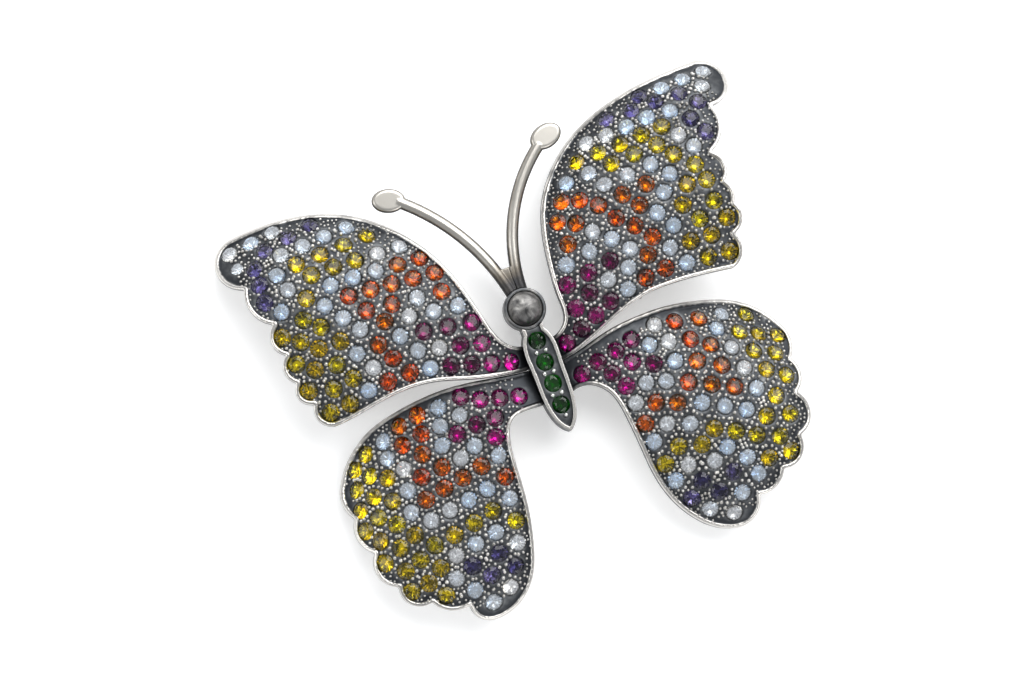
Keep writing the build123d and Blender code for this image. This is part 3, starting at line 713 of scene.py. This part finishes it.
for index, wing in enumerate(WINGS):
    ground = surface(f"{wing}_wing")
    stones = [stone for colour in COLOURS for stone in stone_frames(f"{wing}_stones_{colour}")]
    casting(f"{wing}_wing", silver, WING_VOXEL, worn_and_shaded(wing, stones))
    chance = random.Random(index)
    grains = grain_places(stones, chance)
    grains += filler_places(stones, grains, ground, chance)
    add_grains(f"{wing}_grains", grains, ground, grain_silver)
    for order, colour in enumerate(COLOURS):
        seed = 10 * index + order
        set_stones(f"{wing}_stones_{colour}", glass[colour], foil[colour], seed)

# --- Body, head and antennae -------------------------------------------------------------------------------
HEAD = (Vector(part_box("head_cup")[0]) + Vector(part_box("head_cup")[1])) / 2
SMALL_VOXEL = 0.06 * MM
BEAD = 0.28 * MM  # the radius of the beads between the body's stones
BEAD_SIDE = 0.56 * MM  # from the body's middle
BEAD_DEPTH = 0.27 * MM  # below the stones' tables
TAIL_BEAD = Vector((0.1, -1.3, 0)) * MM  # from the last stone
UPWARDS = Vector((0, 0, 1))


def channel_wear_and_shade(points, normals, curved):
    """Worn bright along the wall's top, dark on the channel's floor, and painted shade down the outside, by
    how far the surface turns from facing up.
    """
    # painted shade down the outside: darker as the surface turns from facing up
    facing_up_light = rising(normals[:, 2], 0.4, 0.8)
    top = rising(points[:, 2] - BODY_HIGH.z, -0.3 * MM, -0.15 * MM)
    return facing_up_light * (0.08 + 0.78 * top) + 0.08 * np.clip(curved, -1, 1)


def cup_rub(points, normals, curved):
    """The cup stays nearly black, with a little wear on its edge."""
    return 0.04 + 0.2 * np.clip(curved, -1, 1)


def stem_sheen_and_tarnish(points, normals, curved):
    """Painted highlight on top and painted shade down the sides, by which way the surface faces; tarnished
    near the head.
    """
    head_distance = np.hypot(points[:, 0] - HEAD.x, points[:, 1] - HEAD.y)
    # painted highlight on top, painted shade down the sides
    return rising(normals[:, 2], 0.35, 0.95) * (0.05 + 0.95 * rising(head_distance, 2.8 * MM, 7.3 * MM))


casting("body_channel", silver, SMALL_VOXEL, channel_wear_and_shade)
casting("head_cup", silver, SMALL_VOXEL, cup_rub)
casting("left_antenna", antenna_silver_painted_sheen, SMALL_VOXEL, stem_sheen_and_tarnish)
casting("right_antenna", antenna_silver_painted_sheen, SMALL_VOXEL, stem_sheen_and_tarnish)
set_stones("body_stones_green", glass["green"], foil["green"], 99)

tables = sorted((centre for centre, _, _ in stone_frames("body_stones_green")), key=lambda centre: centre.y)
beads = []
for here, there in zip(tables, tables[1:]):
    for side in (-BEAD_SIDE, BEAD_SIDE):
        beads.append((here + there) / 2 + Vector((side, 0, 0)))
beads.append(tables[0] + TAIL_BEAD)
places = [(bead - UPWARDS * BEAD_DEPTH, UPWARDS, BEAD) for bead in beads]
add_grains("body_grains", places, surface("body_channel"), pin_metal)

for node, material in (
    ("head_ball", ball),
    ("pin_joint", fitting_silver),
    ("catch_body", fitting_silver),
    ("catch_roller", pin_metal),
    ("pin_stem", pin_metal),
    ("joint_rivet", pin_metal),
):
    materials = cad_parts[node].data.materials
    materials.clear()
    materials.append(material)

# --- Floor, light and camera -------------------------------------------------------------------------------
REACH = 1.5  # of the floor, each way
floor_corners = [(-REACH, -REACH, 0), (REACH, -REACH, 0), (REACH, REACH, 0), (-REACH, REACH, 0)]
floor_mesh = bpy.data.meshes.new("floor")
floor_mesh.from_pydata(floor_corners, [], [(0, 1, 2, 3)])
paper = Nodes("paper")
paper.set(
    Base_Color=(0.93, 0.93, 0.93, 1),
    Roughness=0.9,
    Specular_IOR_Level=0.1,
    Emission_Color=(1.0, 1.0, 1.0, 1),
    Emission_Strength=0.3,
)
new_object("floor", floor_mesh, paper.material)


def soft_box(name, place, size, energy):
    """A square soft box that faces the brooch."""
    light = bpy.data.lights.new(name, "AREA")
    light.size, light.energy = size, energy
    lamp = bpy.data.objects.new(name, light)
    bpy.context.scene.collection.objects.link(lamp)
    lamp.location = place
    lamp.rotation_euler = (-Vector(place)).to_track_quat("-Z", "Y").to_euler()


soft_box("key", (0.32, 0.36, 0.50), 0.80, 6.4)
soft_box("fill", (-0.55, 0.10, 0.42), 0.40, 1.0)
soft_box("low", (0.10, -0.55, 0.40), 0.36, 0.8)

HORIZON = (0.95, 0.97, 1.0)
ZENITH = (0.42, 0.43, 0.44)
world = bpy.data.worlds.new("studio")
bpy.context.scene.world = world
world.use_nodes = True
sky = world.node_tree
direction = sky.nodes.new("ShaderNodeSeparateXYZ")
sky.links.new(sky.nodes.new("ShaderNodeTexCoord").outputs["Generated"], direction.inputs["Vector"])
shade = sky.nodes.new("ShaderNodeValToRGB")
for element, (place, colour) in zip(shade.color_ramp.elements, ((0.18, HORIZON), (0.55, ZENITH))):
    element.position = place
    element.color = (*colour, 1)
sky.links.new(direction.outputs["Z"], shade.inputs["Fac"])
sky.links.new(shade.outputs["Color"], sky.nodes["Background"].inputs["Color"])
bpy.context.scene.view_settings.view_transform = "Standard"

DISTANCE = 0.360
LENS = 112.5
ROLL = radians(20.6)
SENSOR = 36
BODY_HEIGHT = 5.0 * MM  # the height of the body's stones above the plan's origin
AIM_LEFT, AIM_UP = 3.9375 * MM, 3.0375 * MM  # in the picture, from the body's middle
toward = Vector((-0.10, -0.04, 0))
toward.z = sqrt(1 - toward.length_squared)
flat_up = (Vector((0, 1, 0)) - toward * toward.y).normalized()
flat_right = flat_up.cross(toward)
up = flat_up * cos(ROLL) + flat_right * sin(ROLL)
right = flat_right * cos(ROLL) - flat_up * sin(ROLL)
target = PLAN + Vector((0, 0, BODY_HEIGHT)) - right * AIM_LEFT + up * AIM_UP
camera = bpy.data.cameras.new("camera")
camera.lens, camera.sensor_width, camera.clip_start = LENS, SENSOR, 10 * MM
view = bpy.data.objects.new("camera", camera)
bpy.context.scene.collection.objects.link(view)
turned = Matrix((right, up, toward)).transposed().to_4x4()
view.matrix_world = Matrix.Translation(target + toward * DISTANCE) @ turned
bpy.context.scene.camera = view
